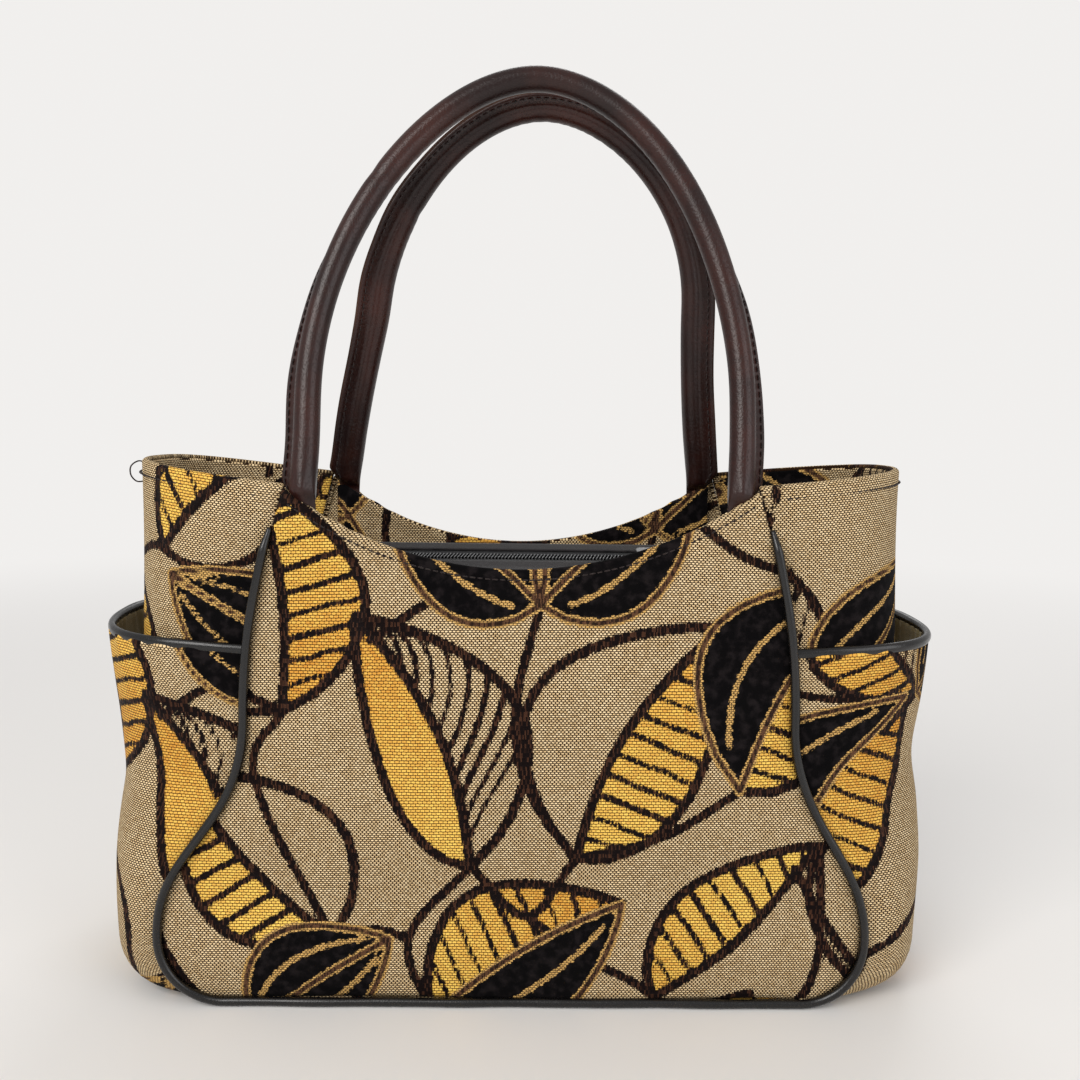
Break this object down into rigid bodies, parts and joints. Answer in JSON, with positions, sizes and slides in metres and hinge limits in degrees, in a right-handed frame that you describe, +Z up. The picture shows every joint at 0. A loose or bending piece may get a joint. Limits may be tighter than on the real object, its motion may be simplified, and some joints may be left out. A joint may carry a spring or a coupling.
{
  "type": "tapestry shoulder bag",
  "caption": "Soft woven shoulder bag with a dipped rim, piped panels, two rolled leather handles, a recessed zip and open end pockets.",
  "frame": {"origin": "middle of the flat base, on the surface that the bag stands on", "axes": "+X to the bag's right seen from the front, +Y to the back, +Z up"},
  "size_m": [0.3716, 0.1292, 0.3981],
  "materials": {
    "tapestry": "woven tapestry, tan ground with gold and black leaves",
    "black_cloth": "plain black cloth",
    "pocket_cloth": "plain olive lining cloth",
    "trim_leather": "smooth black synthetic leather",
    "handle_leather": "satin pebbled dark reddish brown",
    "cord_filler": "twisted cotton cord",
    "board": "grey-brown stiff board",
    "zip_tape": "black herringbone tape",
    "zip_coil": "black nylon coil",
    "zip_metal": "black enamelled zinc"
  },
  "bodies": {
    "bag": {"front_panel": "tapestry", "back_panel": "tapestry", "left_gusset": "tapestry", "right_gusset": "tapestry", "left_pocket": "tapestry", "right_pocket": "tapestry", "base_panel": "tapestry", "front_facing": "tapestry", "back_facing": "tapestry", "left_facing": "tapestry", "right_facing": "tapestry", "front_lining": "black_cloth", "back_lining": "black_cloth", "left_lining": "black_cloth", "right_lining": "black_cloth", "base_lining": "black_cloth", "front_zip_strip": "black_cloth", "back_zip_strip": "black_cloth", "left_pocket_lining": "pocket_cloth", "right_pocket_lining": "pocket_cloth", "front_piping": "trim_leather", "back_piping": "trim_leather", "left_pocket_binding": "trim_leather", "right_pocket_binding": "trim_leather", "front_handle": "handle_leather", "back_handle": "handle_leather", "front_handle_core": "cord_filler", "back_handle_core": "cord_filler", "base_board": "board", "front_zip_tape": "zip_tape", "back_zip_tape": "zip_tape", "front_zip_coil": "zip_coil", "back_zip_coil": "zip_coil", "zip_end_stop": "zip_coil", "zip_top_stops": "zip_coil"},
    "slider": {"zip_slider": "zip_metal"},
    "pull": {"zip_pull": "zip_metal"}
  },
  "joints": [
    {"name": "zip_slide", "type": "slide", "parent": "bag", "child": "slider", "axis": [1, 0, 0], "range_m": [-0.13, 0]},
    {"name": "pull_swing", "type": "hinge", "parent": "slider", "child": "pull", "pos_m": [0.07865, 0.01398, 0.18682], "axis": [0, 0.9659, 0.2588], "range_deg": [0, 165]}
  ]
}
